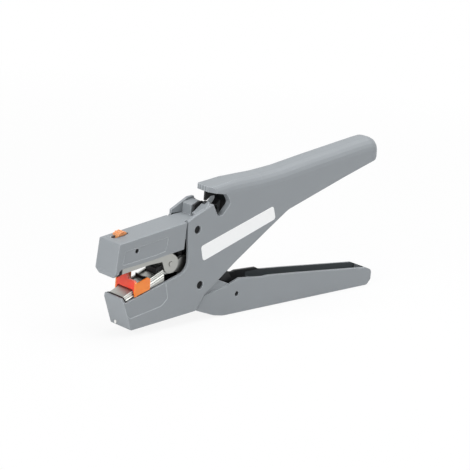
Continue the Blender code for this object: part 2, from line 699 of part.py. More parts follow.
def lower_carriage(look):
    """Steel slide with a forked tail: the crank's cross pin stands in its two slots and draws it back."""
    front, rear = RAIL_SLOT_FRONT + 0.6 * MM, 29.5 * MM
    low, high = RAIL_SLOT_DEPTH - RUN, 1.0 * MM
    outline = [
        (front, rail_top(front) - low),
        (rear, rail_top(rear) - low),
        *mm((39.0, 29.2), (49.4, 27.6), (50.4, 36.2), (47.0, 38.2), (42.0, 37.2)),
        (rear, rail_top(rear) - high),
        (front, rail_top(front) - high),
    ]
    carriage = plate("lower_carriage", outline, 2 * CORE_HALF)
    fork = mm((38.5, 20), (38.5, 45), (60, 45), (60, 20))
    cut(carriage, plate("yoke_fork", fork, 2 * CRANK_HALF + 2 * RUN, keep=False))
    n = (-math.sin(RAIL_ANGLE), math.cos(RAIL_ANGLE))
    low_end = (CRANK_YOKE[0] - 2.3 * MM * n[0], CRANK_YOKE[1] - 2.3 * MM * n[1])
    slot = capsule(CRANK_YOKE, low_end, CRANK_PIN_DIAMETER / 2 + RUN)
    cut(carriage, plate("yoke_slot", slot, BODY_WIDTH, keep=False))
    return finish(carriage, look)


def lower_blade_block(look):
    x0, x1 = 24.0 * MM, 29.2 * MM
    lift = 1.0 * MM - RUN
    outline = [
        (x0, rail_top(x0) - lift),
        (x1, rail_top(x1) - lift),
        (x1, 33.6 * MM),
        (x0 + 0.8 * MM, 33.6 * MM),
        (x0, 33.0 * MM),
    ]
    return finish(plate("lower_blade_block", outline, 2 * CORE_HALF), look)


def length_stop(look):
    """Orange stop that straddles the rail: a wall across the mouth and a plate down each side."""
    outer = HALF - 0.2 * MM
    inner = outer - STOP_SIDE
    floor = rail_top(STOP_X + STOP_WALL / 2) + RUN
    foot = deck(STOP_X) + 2 * RUN
    ridge = HALF - RAIL_SIDE[1][0]
    wall = [
        (-outer, foot),
        (-inner, foot),
        (-inner, foot + 1.2 * MM),
        (-ridge, floor),
        (ridge, floor),
        (inner, foot + 1.2 * MM),
        (inner, foot),
        (outer, foot),
        (outer, 26.6 * MM),
        *mm((0.6, 32.0), (-0.2, 31.9), (-1.4, 29.7)),
        (-HALF + 2.0 * MM, 29.5 * MM),
        (-outer, 28.0 * MM),
    ]
    stop = plate("length_stop", wall, STOP_WALL, STOP_X, FACE)
    x0, x1 = STOP_X - STOP_WALL / 2, 17.2 * MM
    side_outline = [
        (x0, foot),
        (x1, deck(x1) + 2 * RUN),
        (x1 - 0.2 * MM, 29.6 * MM),
        (x1 - 1.8 * MM, 30.5 * MM),
        (x0, 28.0 * MM),
    ]
    middle = (outer + inner) / 2
    for side in (-1, 1):
        fuse(stop, plate(f"stop_side_{side}", side_outline, STOP_SIDE, side * middle, keep=False))
    return finish(stop, look)


def nose_rod(name, diameter, length, start_x, keep=True):
    """A round rod along X at the nose pin's place, from start_x behind the nose's face."""
    y, z = NOSE_PIN
    bm = bmesh.new()
    bmesh.ops.create_cone(
        bm, cap_ends=True, segments=20, radius1=diameter / 2, radius2=diameter / 2, depth=length
    )
    mesh = bpy.data.meshes.new(name)
    bm.to_mesh(mesh)
    bm.free()
    middle = nose(z) + start_x + length / 2 - CENTRE_X
    return add(name, mesh, Matrix.Translation((middle, y, z)) @ Matrix.Rotation(math.pi / 2, 4, "Y"), keep)


def fixed_cutter(look):
    """Blade held in a slot in the hook's underside; its lower edge is the fixed half of the cutter."""
    outline = mm((57.9, 71.4), (57.9, 64.6), (59.4, 64.3), (62.0, 66.2), (66.4, 66.6), (66.4, 71.0))
    return finish(plate("fixed_cutter_blade", outline, CUTTER_THICKNESS, FIXED_CUTTER_Y), look)


def moving_cutter(look):
    """Blade on the near side of the jaw's tail: it rises across the notch as the jaw closes."""
    top = mm((49.6, 59.2), (49.6, 63.4), (52.6, 65.0), (55.6, 64.8), (59.6, 62.6))
    outline = [*top, *mm((66.0, 61.6), (66.8, 59.0), (61.4, 57.6))]
    middle = TAIL_NEAR - RUN - CUTTER_THICKNESS / 2
    return finish(plate("moving_cutter_blade", outline, CUTTER_THICKNESS, middle), look)


def lever(look):
    end = REAR_END / MM
    outline = rounded([
        (57.0, 13.7, 0.6),
        (52.3, 6.2, 1.2),
        (66.0, 1.3, 8),
        (73.0, 0.0, 12),
        (end - 2.9, 0.0, 2.5),
        (end, 3.0, 2.0),
        (end, 8.6, 2.4),
        (end - 4.8, 10.6, 3),
        (end - 12.8, 11.4, 0),
        (125.2, 16.2, 0),
        (105.4, 17.9, 1),
        (100.4, 17.8, 1),
        (82.5, 19.7, 3),
        (73.9, 16.7, 3),
    ])
    handle = plate("lever", outline, 2 * LEVER_HALF)
    soften(handle, EDGE, segments=2)
    inner_half = LEVER_HALF - LEVER_WALL
    channel = [
        *mm((50, 30), (50, 12.0), (60.5, 8.0)),
        (74 * MM, LEVER_FLOOR),
        (REAR_END - 5.1 * MM, LEVER_FLOOR),
        *mm((end - 1.7, 4.6), (end - 1.7, 9.0), (end - 5.7, 12), (end - 5.7, 30)),
    ]
    cut(handle, plate("lever_channel", channel, 2 * inner_half, keep=False))
    # A hump on the far wall, and two low cross ribs
    hump = mm((86, 15), (111.5, 13), (109, 17.6), (106.4, 18.9), (91, 19.5), (87.5, 18.6))
    fuse(handle, plate("far_hump", hump, LEVER_WALL, LEVER_HALF - LEVER_WALL / 2, keep=False))
    for i, (x, top) in enumerate(mm((99.0, 15.0), (end - 53.3, 6.0), (end - 28.3, 6.0))):
        rib = [(x, LEVER_FLOOR / 2), (x + LEVER_RIB, LEVER_FLOOR / 2), (x + LEVER_RIB, top), (x, top)]
        fuse(handle, plate(f"lever_rib_{i + 1}", rib, 2 * inner_half + LEVER_WALL, keep=False))
    eye = [polar(LEVER_PIVOT, 5.6 * MM, math.radians(a)) for a in range(60, 211, 15)]
    ear = [*eye, *mm((49.2, 12.5), (53.6, 9.6), (61, 3.6), (80, 1.0), (81.5, 14.0), (76.0, 17.4))]
    for side in (-1, 1):
        middle = side * (EAR_OUTSIDE - EAR_THICKNESS / 2)
        fuse(handle, plate(f"lever_ear_{side}", ear, EAR_THICKNESS, middle, keep=False))
    bore(handle, "lever_bore", LEVER_PIVOT, PIVOT_DIAMETER + 2 * RUN)
    bore(handle, "link_pin_bore", LINK_PIVOT, LINK_PIN_DIAMETER + 2 * FIT)
    return finish(handle, look)


def link(look):
    """Black pressure link: solid at the lever, forked round the crank at the top."""
    bar = plate("link", capsule(LINK_PIVOT, CRANK_LINK, 3.6 * MM), 2 * LINK_HALF)
    soften(bar, EDGE, segments=2)
    direction = Vector(CRANK_LINK) - Vector(LINK_PIVOT)
    throat = Vector(CRANK_LINK) - direction.normalized() * 15 * MM
    beyond = Vector(CRANK_LINK) + direction.normalized() * 6 * MM
    fork = capsule(tuple(throat), tuple(beyond), 5.5 * MM)
    cut(bar, plate("link_fork", fork, 2 * CRANK_HALF + 2 * RUN, keep=False))
    bore(bar, "link_bore_low", LINK_PIVOT, LINK_PIN_DIAMETER + 2 * RUN)
    bore(bar, "link_bore_high", CRANK_LINK, LINK_PIN_DIAMETER + 2 * FIT)
    return finish(bar, look)


def drive_crank(look):
    """Bell crank on the jaw's pivot: the link pushes one arm, and the other draws the carriage."""
    crank = plate("drive_crank", capsule(JAW_PIVOT, CRANK_LINK, 3.9 * MM), 2 * CRANK_HALF)
    fuse(crank, plate("crank_arm", capsule(JAW_PIVOT, CRANK_YOKE, 3.0 * MM), 2 * CRANK_HALF, keep=False))
    bore(crank, "crank_hub", JAW_PIVOT, PIVOT_DIAMETER + 2 * RUN)
    bore(crank, "crank_play", CRANK_LINK, LINK_PIN_DIAMETER + 2 * OPEN_PIVOT_PLAY)
    bore(crank, "crank_pin_bore", CRANK_YOKE, CRANK_PIN_DIAMETER + 2 * FIT)
    return finish(crank, look)


def return_spring(look):
    """Torsion spring round the lever's pivot, one leg on the body's floor and one on the lever's."""
    radius = PIVOT_DIAMETER / 2 + RUN + SPRING_WIRE / 2
    half = 1.5 * SPRING_WIRE + 2 * RUN
    points = [Vector((41.0 * MM, -half, 12.2 * MM))]
    start, turns, per_turn = math.radians(-110.0), SPRING_TURNS, 14
    count = int(turns * per_turn)
    for i in range(count + 1):
        angle = start - 2 * math.pi * turns * i / count
        x, z = polar(LEVER_PIVOT, radius, angle)
        points.append(Vector((x, -half + 2 * half * i / count, z)))
    points.append(Vector((70.0 * MM, half, 8.4 * MM)))
    curve = bpy.data.curves.new("return_spring", "CURVE")
    curve.dimensions = "3D"
    curve.bevel_depth = SPRING_WIRE / 2
    curve.bevel_resolution = 2
    curve.use_fill_caps = True
    spline = curve.splines.new("POLY")
    spline.points.add(len(points) - 1)
    for point, spot in zip(spline.points, points):
        point.co = (*spot, 1.0)
    obj = bpy.data.objects.new("return_spring", curve)
    parts.objects.link(obj)
    obj.location = (-CENTRE_X, 0, 0)
    obj.data.materials.append(look)
    return obj


def main():
    start()
    grey = material("grey_nylon", (0.27, 0.30, 0.32), 0.5)
    black = material("black_plastic", (0.02, 0.02, 0.022), 0.45)
    steel = material("bright_steel", (0.55, 0.56, 0.53), 0.35, 1.0)
    dark_steel = material("dark_steel", (0.08, 0.08, 0.085), 0.4, 1.0)
    orange = material("orange_plastic", (0.85, 0.18, 0.03), 0.35)

    body = main_body(grey)
    cut(body, nose_rod("nose_pin_bore", NOSE_PIN_DIAMETER + 2 * FIT, 12.0 * MM, -9.0 * MM, keep=False))
    finish(nose_rod("nose_pin", NOSE_PIN_DIAMETER, 3.0 * MM, -0.3 * MM), steel)
    shown = HALF - PIN_RECESS
    finish(rod("jaw_pivot_pin", JAW_PIVOT, PIVOT_DIAMETER, -shown, shown), dark_steel)
    finish(rod("lever_pivot_pin", LEVER_PIVOT, PIVOT_DIAMETER, -shown, shown), dark_steel)
    lower_liner(black)
    lower_clamp_rail(steel)
    fixed_cutter(dark_steel)
    return_spring(dark_steel)

    jaw_pieces = [
        upper_jaw(grey),
        upper_clamp(dark_steel),
        moving_cutter(dark_steel),
        finish(rod("upper_clamp_pin", CLAMP_PIN, CLAMP_PIN_DIAMETER, -shown, shown), dark_steel),
    ]
    jaw_hinge = hinge("jaw_hinge", JAW_PIVOT, None, *jaw_pieces)
    hinge("adjuster_slide", (ADJUSTER_X, ADJUSTER_TOP), jaw_hinge, depth_adjuster(orange))
    upper_pieces = [
        upper_carriage(steel),
        upper_blade_block(black),
        blade_plate("upper_blade", UPPER_BLADE_X, 35.6 * MM, 40.6 * MM, dark_steel, 0.5 * MM),
        *carriage_rivets(steel),
    ]
    hinge("upper_slide", LUG, jaw_hinge, *upper_pieces)
    seat = rail_top(LOWER_BLADE_X)
    low, high = seat - 1.0 * MM + RUN, seat + 1.6 * MM
    lower_pieces = [
        lower_carriage(steel),
        lower_blade_block(black),
        blade_plate("lower_blade", LOWER_BLADE_X, low, high, dark_steel, -0.5 * MM),
    ]
    hinge("lower_slide", (RAIL_REAR, rail_top(RAIL_REAR)), None, *lower_pieces)
    hinge("stop_slide", (STOP_X, rail_top(STOP_X)), None, length_stop(orange))

    pin_half = LEVER_HALF - LINK_PIN_RECESS
    lever_pieces = [
        lever(grey),
        finish(rod("link_pin", LINK_PIVOT, LINK_PIN_DIAMETER, -pin_half, pin_half), dark_steel),
    ]
    lever_hinge = hinge("lever_hinge", LEVER_PIVOT, None, *lever_pieces)
    link_pieces = [
        link(black),
        finish(rod("link_top_pin", CRANK_LINK, LINK_PIN_DIAMETER, -LINK_HALF, LINK_HALF), dark_steel),
    ]
    hinge("link_hinge", LINK_PIVOT, lever_hinge, *link_pieces)
    crank_pieces = [
        drive_crank(black),
        finish(rod("crank_pin", CRANK_YOKE, CRANK_PIN_DIAMETER, -CORE_HALF, CORE_HALF), steel),
    ]
    hinge("crank_hinge", JAW_PIVOT, None, *crank_pieces)


main()
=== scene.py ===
# %% [markdown]
# # An automatic wire stripper
#
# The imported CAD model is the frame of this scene. It already has every moulding, plate, pin and blade at its real
# size, so the scene adds what CAD leaves out: finishes, the bare label on the side, and the light. Lengths are in
# metres. X runs from the jaws to the handles, the side with the label faces -Y, and Z is up.

# %% Load the frame
import json
import math

import bmesh
import bpy
from mathutils import Matrix, Vector


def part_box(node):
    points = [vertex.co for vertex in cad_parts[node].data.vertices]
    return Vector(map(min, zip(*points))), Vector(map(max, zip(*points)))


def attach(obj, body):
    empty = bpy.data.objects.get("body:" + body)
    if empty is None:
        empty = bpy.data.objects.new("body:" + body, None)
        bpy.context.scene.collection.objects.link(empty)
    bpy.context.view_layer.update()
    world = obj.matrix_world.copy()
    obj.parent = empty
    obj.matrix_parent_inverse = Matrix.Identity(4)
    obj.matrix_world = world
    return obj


MM = 0.001
OPAQUE = 1.0

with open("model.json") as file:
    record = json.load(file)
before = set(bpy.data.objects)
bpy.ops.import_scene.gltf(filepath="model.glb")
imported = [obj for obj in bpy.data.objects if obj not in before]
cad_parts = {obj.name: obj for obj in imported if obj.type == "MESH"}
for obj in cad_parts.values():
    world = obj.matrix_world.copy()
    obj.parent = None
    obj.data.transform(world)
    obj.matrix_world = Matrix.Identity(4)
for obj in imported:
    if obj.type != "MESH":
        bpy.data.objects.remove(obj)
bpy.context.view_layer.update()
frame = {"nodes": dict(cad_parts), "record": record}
nodes = frame["nodes"]

# %% [markdown]
# ## Helpers for node trees
#
# A material is a graph. It could be drawn link by link, but then the links hide what the graph does. The helpers
# below add one node each and take either a plain value or another node's output, so that the later cells read like
# a short recipe.

# %% Node helpers
def feed(tree, socket, value):
    """Puts a value into a socket: an output becomes a link, and anything else the socket's own value."""
    if isinstance(value, bpy.types.NodeSocket):
        tree.links.new(value, socket)
    else:
        socket.default_value = value


def add_node(tree, kind, **sockets):
    """Adds a node. A keyword names an input socket, with _ for a space."""
    node = tree.nodes.new(kind)
    for name, value in sockets.items():
        feed(tree, node.inputs[name.replace("_", " ")], value)
    return node


def place_group(tree, group, **sockets):
    placed = tree.nodes.new("ShaderNodeGroup")
    placed.node_tree = group
    for name, value in sockets.items():
        feed(tree, placed.inputs[name], value)
    return placed


def calculate(tree, operation, first, second, clamp=False):
    """The output of one Math node."""
    node = tree.nodes.new("ShaderNodeMath")
    node.operation = operation
    node.use_clamp = clamp
    feed(tree, node.inputs[0], first)
    feed(tree, node.inputs[1], second)
    return node.outputs[0]


def calculate_vector(tree, operation, first, second):
    """One Vector Math node."""
    node = tree.nodes.new("ShaderNodeVectorMath")
    node.operation = operation
    feed(tree, node.inputs[0], first)
    feed(tree, node.inputs[1], second)
    return node


def blend(tree, share, first, second):
    """The first colour where share is 0 and the second where it is 1."""
    mix = tree.nodes.new("ShaderNodeMix")
    mix.data_type = "RGBA"
    feed(tree, mix.inputs["Factor"], share)
    for name, colour in (("A", first), ("B", second)):
        plain = not isinstance(colour, bpy.types.NodeSocket)
        feed(tree, mix.inputs[name], (*colour, OPAQUE) if plain else colour)
    return mix.outputs["Result"]


def object_point(tree):
    """Where a point lies on its own piece, which stays the same when the piece moves."""
    return tree.nodes.new("ShaderNodeTexCoord").outputs["Object"]


def new_material(name, colour, roughness, metallic=0.0):
    """A material whose shader holds the plain values, and its tree."""
    made = bpy.data.materials.new(name)
    made.use_nodes = True
    shader = made.node_tree.nodes["Principled BSDF"]
    shader.inputs["Base Color"].default_value = (*colour, OPAQUE)
    shader.inputs["Roughness"].default_value = roughness
    shader.inputs["Metallic"].default_value = metallic
    made.diffuse_color = (*colour, OPAQUE)
    return made, made.node_tree, shader


def linear(red, green, blue):
    """A colour picked as 0 to 255 on a screen, in the linear values that shaders use."""
    def channel(value):
        value /= 255
        return value / 12.92 if value <= 0.04045 else ((value + 0.055) / 1.055) ** 2.4
    return channel(red), channel(green), channel(blue)


def start_group(name, inputs, outputs):
    """An empty node group with named sockets, and its input and output nodes."""
    group = bpy.data.node_groups.new(name, "ShaderNodeTree")
    for label, kind, value in inputs:
        socket = group.interface.new_socket(label, in_out="INPUT", socket_type=kind)
        if value is not None:
            socket.default_value = value
    for label, kind in outputs:
        group.interface.new_socket(label, in_out="OUTPUT", socket_type=kind)
    return group, group.nodes.new("NodeGroupInput").outputs, group.nodes.new("NodeGroupOutput").inputs


print("helpers are ready")

# %% [markdown]
# ## Shared surface effects
#
# Moulded nylon, ground steel and black plastic look different, but three effects come back in them: a fine grain in
# the surface, cloudy changes of colour and gloss from handling, and edges painted a little lighter, partly where they
# have been rubbed and partly as a painted highlight. Each could be copied into every material. Here each is one node
# group with its own inputs, so it is built once and every finish sets its own amount.
#
# The grain is what spark erosion leaves in a mould, or a grinding wheel on steel. A noise texture gives its height,
# and a stretch along one axis turns the specks of a mould into the scratches of a wheel.

# %% Grain group
def grain_group():
    """Fine grain: a height for a Bump node."""
    group, given, out = start_group(
        "surface grain",
        [("Size", "NodeSocketFloat", 2200.0), ("Stretch", "NodeSocketVector", (1.0, 1.0, 1.0))],
        [("Height", "NodeSocketFloat")],
    )
    stretched = calculate_vector(group, "MULTIPLY", object_point(group), given["Stretch"]).outputs[0]
    fine = add_node(
        group, "ShaderNodeTexNoise", Vector=stretched, Scale=given["Size"], Detail=3.0, Roughness=0.6
    )
    feed(group, out["Height"], fine.outputs["Fac"])
    return group


grain = grain_group()
print("group:", grain.name)

# %% [markdown]
# Hands leave plastic a little shinier and darker in some places than in others. One soft noise drives both, because
# a greasy patch changes colour and gloss together.

# %% Handling group
def handling_group():
    """Cloudy variation from handling: a varied colour and roughness."""
    group, given, out = start_group(
        "handling",
        [
            ("Color", "NodeSocketColor", None),
            ("Roughness", "NodeSocketFloat", 0.5),
            ("Amount", "NodeSocketFloat", 0.1),
            ("Size", "NodeSocketFloat", 45.0),
        ],
        [("Color", "NodeSocketColor"), ("Roughness", "NodeSocketFloat")],
    )
    cloud = add_node(
        group,
        "ShaderNodeTexNoise",
        Vector=object_point(group),
        Scale=given["Size"],
        Detail=5.0,
        Roughness=0.62,
    )
    centred = calculate(group, "SUBTRACT", cloud.outputs["Fac"], 0.5)
    share = calculate(group, "MULTIPLY", centred, given["Amount"])
    brightness = calculate(group, "ADD", share, 1.0)
    tinted = add_node(group, "ShaderNodeHueSaturation", Color=given["Color"], Value=brightness)
    feed(group, out["Color"], tinted.outputs["Color"])
    feed(group, out["Roughness"], calculate(group, "ADD", share, given["Roughness"]))
    return group


handling = handling_group()
print("group:", handling.name)

# %% [markdown]
# On the real mouldings each edge is slightly round and catches the light as a thin pale line. The solids have sharp
# edges. Rounding them would mean a new mesh, and Pointiness needs a fine one. The Bevel node needs neither: it gives
# the normal that a rounded edge would have. Where that normal turns away from the face's own, there is an edge, and
# the same comparison then serves as the mask of a paler edge colour, partly wear and partly a painted highlight.

# %% Scuffed edges and painted highlight group
EDGE_RADIUS = 0.6 * MM
BEVEL_SAMPLES = 6
EDGE_STARTS = 0.97
EDGE_IS_FULL = 0.9


def build_scuffed_highlight_edges():
    """The normal of slightly rounded edges, and a mask of them that is broken up, so that the paler edge colour,
    partly scuffing and partly a painted highlight, isn't a drawn line.
    """
    group, given, out = start_group(
        "scuffed edges, painted highlight",
        [("Radius", "NodeSocketFloat", EDGE_RADIUS), ("Amount", "NodeSocketFloat", 1.0)],
        [("Mask", "NodeSocketFloat"), ("Normal", "NodeSocketVector")],
    )
    face = group.nodes.new("ShaderNodeNewGeometry").outputs["Normal"]
    patches = add_node(group, "ShaderNodeTexNoise", Vector=object_point(group), Scale=320.0, Detail=4.0)
    rounded = add_node(group, "ShaderNodeBevel", Radius=given["Radius"])
    rounded.samples = BEVEL_SAMPLES
    turn = calculate_vector(group, "DOT_PRODUCT", rounded.outputs["Normal"], face)
    edge = add_node(
        group,
        "ShaderNodeMapRange",
        Value=turn.outputs["Value"],
        From_Min=EDGE_STARTS,
        From_Max=EDGE_IS_FULL,
    )
    broken = calculate(group, "MULTIPLY", edge.outputs[0], patches.outputs["Fac"])
    feed(group, out["Mask"], calculate(group, "MULTIPLY", broken, given["Amount"], clamp=True))
    feed(group, out["Normal"], rounded.outputs["Normal"])
    return group


scuffed_highlight_edges = build_scuffed_highlight_edges()
print("group:", scuffed_highlight_edges.name)

# %% [markdown]
# The housing and the lever are painted nearly black inside, as painted shade, and the length stop changes from red to
# orange where its side plates begin, the red being painted shade and light through the plastic. Separate meshes could
# carry these colours, but each is one moulding. So the material asks where on the piece a point lies. A piece's
# object coordinates move with it, and a box in them marks the same faces at every pose.

# %% Marked box group
def marked_box_group():
    """A mask that is 1 between two corners of a box in the piece's own coordinates."""
    group, given, out = start_group(
        "marked box",
        [("Low", "NodeSocketVector", (0.0, 0.0, 0.0)), ("High", "NodeSocketVector", (1.0, 1.0, 1.0))],
        [("Mask", "NodeSocketFloat")],
    )
    point = object_point(group)
    depths = []
    for larger, smaller in ((point, given["Low"]), (given["High"], point)):
        apart = calculate_vector(group, "SUBTRACT", larger, smaller)
        depths += add_node(group, "ShaderNodeSeparateXYZ", Vector=apart.outputs[0]).outputs[:]
    least = depths[0]
    for depth in depths[1:]:
        least = calculate(group, "MINIMUM", least, depth)
    feed(group, out["Mask"], calculate(group, "GREATER_THAN", least, 0.0))
    return group


marked_box = marked_box_group()
PIN_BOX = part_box("jaw_pivot_pin")
NOSE_X = (PIN_BOX[0][0] + PIN_BOX[1][0]) / 2 - 47.7 * MM


def box_mask(tree, low, high):
    """The mask of one box, whose corners are in millimetres from the lower jaw's nose."""
    low, high = ((NOSE_X + x * MM, y * MM, z * MM) for x, y, z in (low, high))
    return place_group(tree, marked_box, Low=low, High=high).outputs["Mask"]


print("group:", marked_box.name, "nose at", round(NOSE_X, 5))

# %% [markdown]
# ## Finishes
#
# The tool has grey glass-filled nylon with a fine matt grain, black plastic, ground steel, blackened steel, one
# polished pin, and an orange plastic. All but the last differ only in colour, gloss, grain and direction of grinding,
# so one function makes them by placing the shared groups. What is the same all over a piece stands on the shader's
# own sockets.

# %% Finish builder
def finish_of(
    name,
    colour,
    roughness,
    grain_size,
    grain_height,
    variation,
    metallic=0.0,
    mirror=0.5,
    stretch=(1, 1, 1),
    scuffed_highlight_colour=None,
    scuffed_highlight_amount=2.4,
    painted_shade=(),
):
    """A material of the shared groups. Its list of boxes gives where shade is painted and the colour painted into
    each, mirror is its specular.
    """
    made, tree, shader = new_material(name, colour, roughness, metallic)
    shader.inputs["Specular IOR Level"].default_value = mirror
    cloudy = place_group(tree, handling, Color=(*colour, OPAQUE), Roughness=roughness, Amount=variation)
    fine = place_group(tree, grain, Size=grain_size, Stretch=stretch)
    bump = add_node(
        tree, "ShaderNodeBump", Strength=1.0, Distance=grain_height, Height=fine.outputs["Height"]
    )
    shown = cloudy.outputs["Color"]
    # The paler edge colour is partly scuffing and partly a painted highlight.
    if scuffed_highlight_colour:
        edge_marks = place_group(tree, scuffed_highlight_edges, Amount=scuffed_highlight_amount)
        shown = blend(tree, edge_marks.outputs["Mask"], shown, scuffed_highlight_colour)
        feed(tree, bump.inputs["Normal"], edge_marks.outputs["Normal"])
    # Each box paints shade into the colour of the inner faces it holds.
    for low, high, shade_colour in painted_shade:
        shown = blend(tree, box_mask(tree, low, high), shown, shade_colour)
    feed(tree, shader.inputs["Base Color"], shown)
    feed(tree, shader.inputs["Roughness"], cloudy.outputs["Roughness"])
    feed(tree, shader.inputs["Normal"], bump.outputs["Normal"])
    return made


print("finish builder is ready")

# %% [markdown]
# The body and the lever are grey outside and look nearly black inside, where little light comes, so that shade is
# painted into their colour. The boxes of painted shade stop just inside the walls, so only the inner faces lie in
# them.
# The lever's channel is painted a dark grey, with its front as far as the first rib, and the hump on its far wall,
# nearly black, all as painted shade.

# %% Grey nylon
GREY = linear(146, 151, 155)
# The paler grey on the edges is partly scuffing and partly a painted highlight.
SCUFFED_HIGHLIGHT_GREY = linear(194, 199, 203)
NEAR_BLACK = linear(30, 33, 35)
CHANNEL_GREY = linear(84, 90, 93)
BODY_INSIDE = 6.22
NOTCH_INSIDE = 4.42
LEVER_INSIDE = 5.33
# Painted shade: the housing's inner faces are painted nearly black.
BODY_PAINTED_SHADE = (
    ((29.0, -BODY_INSIDE, 7.4), (62.0, BODY_INSIDE, 58.0), NEAR_BLACK),
    ((62.0, -BODY_INSIDE, 12.0), (76.0, BODY_INSIDE, 53.0), NEAR_BLACK),
    ((76.0, -BODY_INSIDE, 12.0), (119.0, BODY_INSIDE, 72.0), NEAR_BLACK),
    ((54.5, -NOTCH_INSIDE, 53.0), (74.5, NOTCH_INSIDE, 69.9), NEAR_BLACK),
)
# Painted shade: the lever's channel is painted dark grey, its front and the hump on its far wall nearly black.
LEVER_PAINTED_SHADE = (
    ((74.0, -LEVER_INSIDE, 1.5), (186.5, LEVER_INSIDE, 30.0), CHANNEL_GREY),
    ((60.0, -LEVER_INSIDE, 7.9), (74.0, LEVER_INSIDE, 30.0), NEAR_BLACK),
    ((74.0, -LEVER_INSIDE, 1.5), (98.8, 6.75, 30.0), NEAR_BLACK),
    ((85.5, 4.9, 17.5), (111.8, 6.75, 30.0), NEAR_BLACK),
)


def nylon_of(name, painted_shade=()):
    return finish_of(
        name,
        GREY,
        roughness=0.52,
        grain_size=1900.0,
        grain_height=0.03 * MM,
        variation=0.08,
        scuffed_highlight_colour=SCUFFED_HIGHLIGHT_GREY,
        painted_shade=painted_shade,
    )


grey_nylon = nylon_of("grey nylon")
# These two finishes carry painted shade on their inner faces.
body_nylon = nylon_of("grey nylon, painted shade inside the housing", BODY_PAINTED_SHADE)
lever_nylon = nylon_of("grey nylon, painted shade inside the lever", LEVER_PAINTED_SHADE)
print("finishes:", grey_nylon.name, "and two with painted shade inside")

# %% [markdown]
# The link, the bell crank and the blade holders are black plastic. The rail and the carriages are ground steel, whose
# grain is stretched along the tool, because that is how the wheel went over them. The pins, the blades and the
# spring are blackened, so they hardly mirror, and the small pin in the nose is polished. A metallic black would
# mirror the white studio and look grey, so the blackened steel is a dull coat of oxide and not metallic.

# %% Black plastic and the steels
ALONG_THE_TOOL = (0.12, 1, 1)
black_plastic = finish_of(
    "black plastic",
    linear(27, 28, 30),
    roughness=0.46,
    grain_size=1700.0,
    grain_height=0.02 * MM,
    variation=0.12,
    mirror=0.3,
)
ground_steel = finish_of(
    "ground steel",
    linear(176, 177, 173),
    roughness=0.38,
    grain_size=900.0,
    grain_height=0.012 * MM,
    variation=0.12,
    metallic=1.0,
    stretch=ALONG_THE_TOOL,
)
black_steel = finish_of(
    "blackened steel",
    linear(20, 21, 22),
    roughness=0.45,
    grain_size=1200.0,
    grain_height=0.01 * MM,
    variation=0.2,
    mirror=0.2,
    # Paler edges: partly scuffed oxide, partly a painted highlight.
    scuffed_highlight_colour=linear(110, 110, 112),
)
polished_steel = finish_of(
    "polished steel",
    linear(236, 236, 234),
    roughness=0.22,
    grain_size=900.0,
    grain_height=0.004 * MM,
    variation=0.05,
    metallic=1.0,
)
print("finishes:", black_plastic.name, ground_steel.name, black_steel.name, polished_steel.name)

# %% [markdown]
# The length stop is orange plastic that lets some light in: its wall across the rail looks red and its side plates
# orange. Light that enters it comes out again nearby, which is what subsurface scattering does, and a thin clear
# coat gives its wet-looking gloss. Real transparency would show the steel through it, which the tool doesn't. A
# cloudy noise lets the two colours flow into each other, and the box of the wall shifts it to the red end, a painted
# red that stands in for shade and for light passing through the plastic.

# %% Orange plastic
SCATTER_COLOUR = (1.0, 0.25, 0.08)
# Painted: the wall's deeper red stands in for shade and light through the plastic.
STOP_WALL_SHADE_BOX = ((0.0, -6.95, 18.0), (9.0, 6.95, 34.0))
DEEP_OUTSIDE_BOX = -0.2
DEEP_IN_BOX = 0.65


def orange_plastic_of(name, bright, deep, roughness, painted_shade_box=None):
    """Bright and deep colours flow into each other. Where a box is given, the deep one fills that box as painted
    shade.
    """
    made, tree, shader = new_material(name, bright, roughness)
    flow = add_node(tree, "ShaderNodeTexNoise", Vector=object_point(tree), Scale=140.0, Detail=2.0)
    share = flow.outputs["Fac"]
    # The box paints the deep colour in as shade and light through the plastic.
    if painted_shade_box:
        ends = add_node(
            tree,
            "ShaderNodeMapRange",
            Value=box_mask(tree, *painted_shade_box),
            To_Min=DEEP_OUTSIDE_BOX,
            To_Max=DEEP_IN_BOX,
        )
        halved = calculate(tree, "MULTIPLY", share, 0.5)
        share = calculate(tree, "ADD", ends.outputs[0], halved, clamp=True)
    feed(tree, shader.inputs["Base Color"], blend(tree, share, bright, deep))
    shader.inputs["Subsurface Weight"].default_value = 0.12
    shader.inputs["Subsurface Radius"].default_value = SCATTER_COLOUR
    shader.inputs["Subsurface Scale"].default_value = 1.0 * MM
    shader.inputs["Coat Weight"].default_value = 0.25
    shader.inputs["Coat Roughness"].default_value = 0.12
    return made


stop_orange = orange_plastic_of(
    "clear orange plastic", linear(252, 140, 44), linear(255, 42, 14), 0.3, STOP_WALL_SHADE_BOX
)
button_orange = orange_plastic_of("orange button", linear(244, 176, 120), linear(226, 128, 66), 0.4)
print("finishes:", stop_orange.name, button_orange.name)

# %% [markdown]
# The record gives each node a slot, such as black plastic, and the slot's finish goes on all of its nodes. Four
# pieces have a finish of their own.

# %% Give the CAD nodes their finishes
FINISHES = {
    "grey_nylon": grey_nylon,
    "black_plastic": black_plastic,
    "bright_steel": ground_steel,
    "dark_steel": black_steel,
    "orange_plastic": stop_orange,
}
OWN_FINISHES = {
    "main_body": body_nylon,
    "lever": lever_nylon,
    "nose_pin": polished_steel,
    "depth_adjuster": button_orange,
}
slot_of = {entry["node"]: entry["material_slot"] for entry in frame["record"]["subparts"]}
for name, node in nodes.items():
    look = OWN_FINISHES.get(name, FINISHES[slot_of[name]])
    if not node.material_slots:
        node.data.materials.append(look)
    for slot in node.material_slots:
        slot.material = look
print("finishes given to", len(nodes), "nodes")

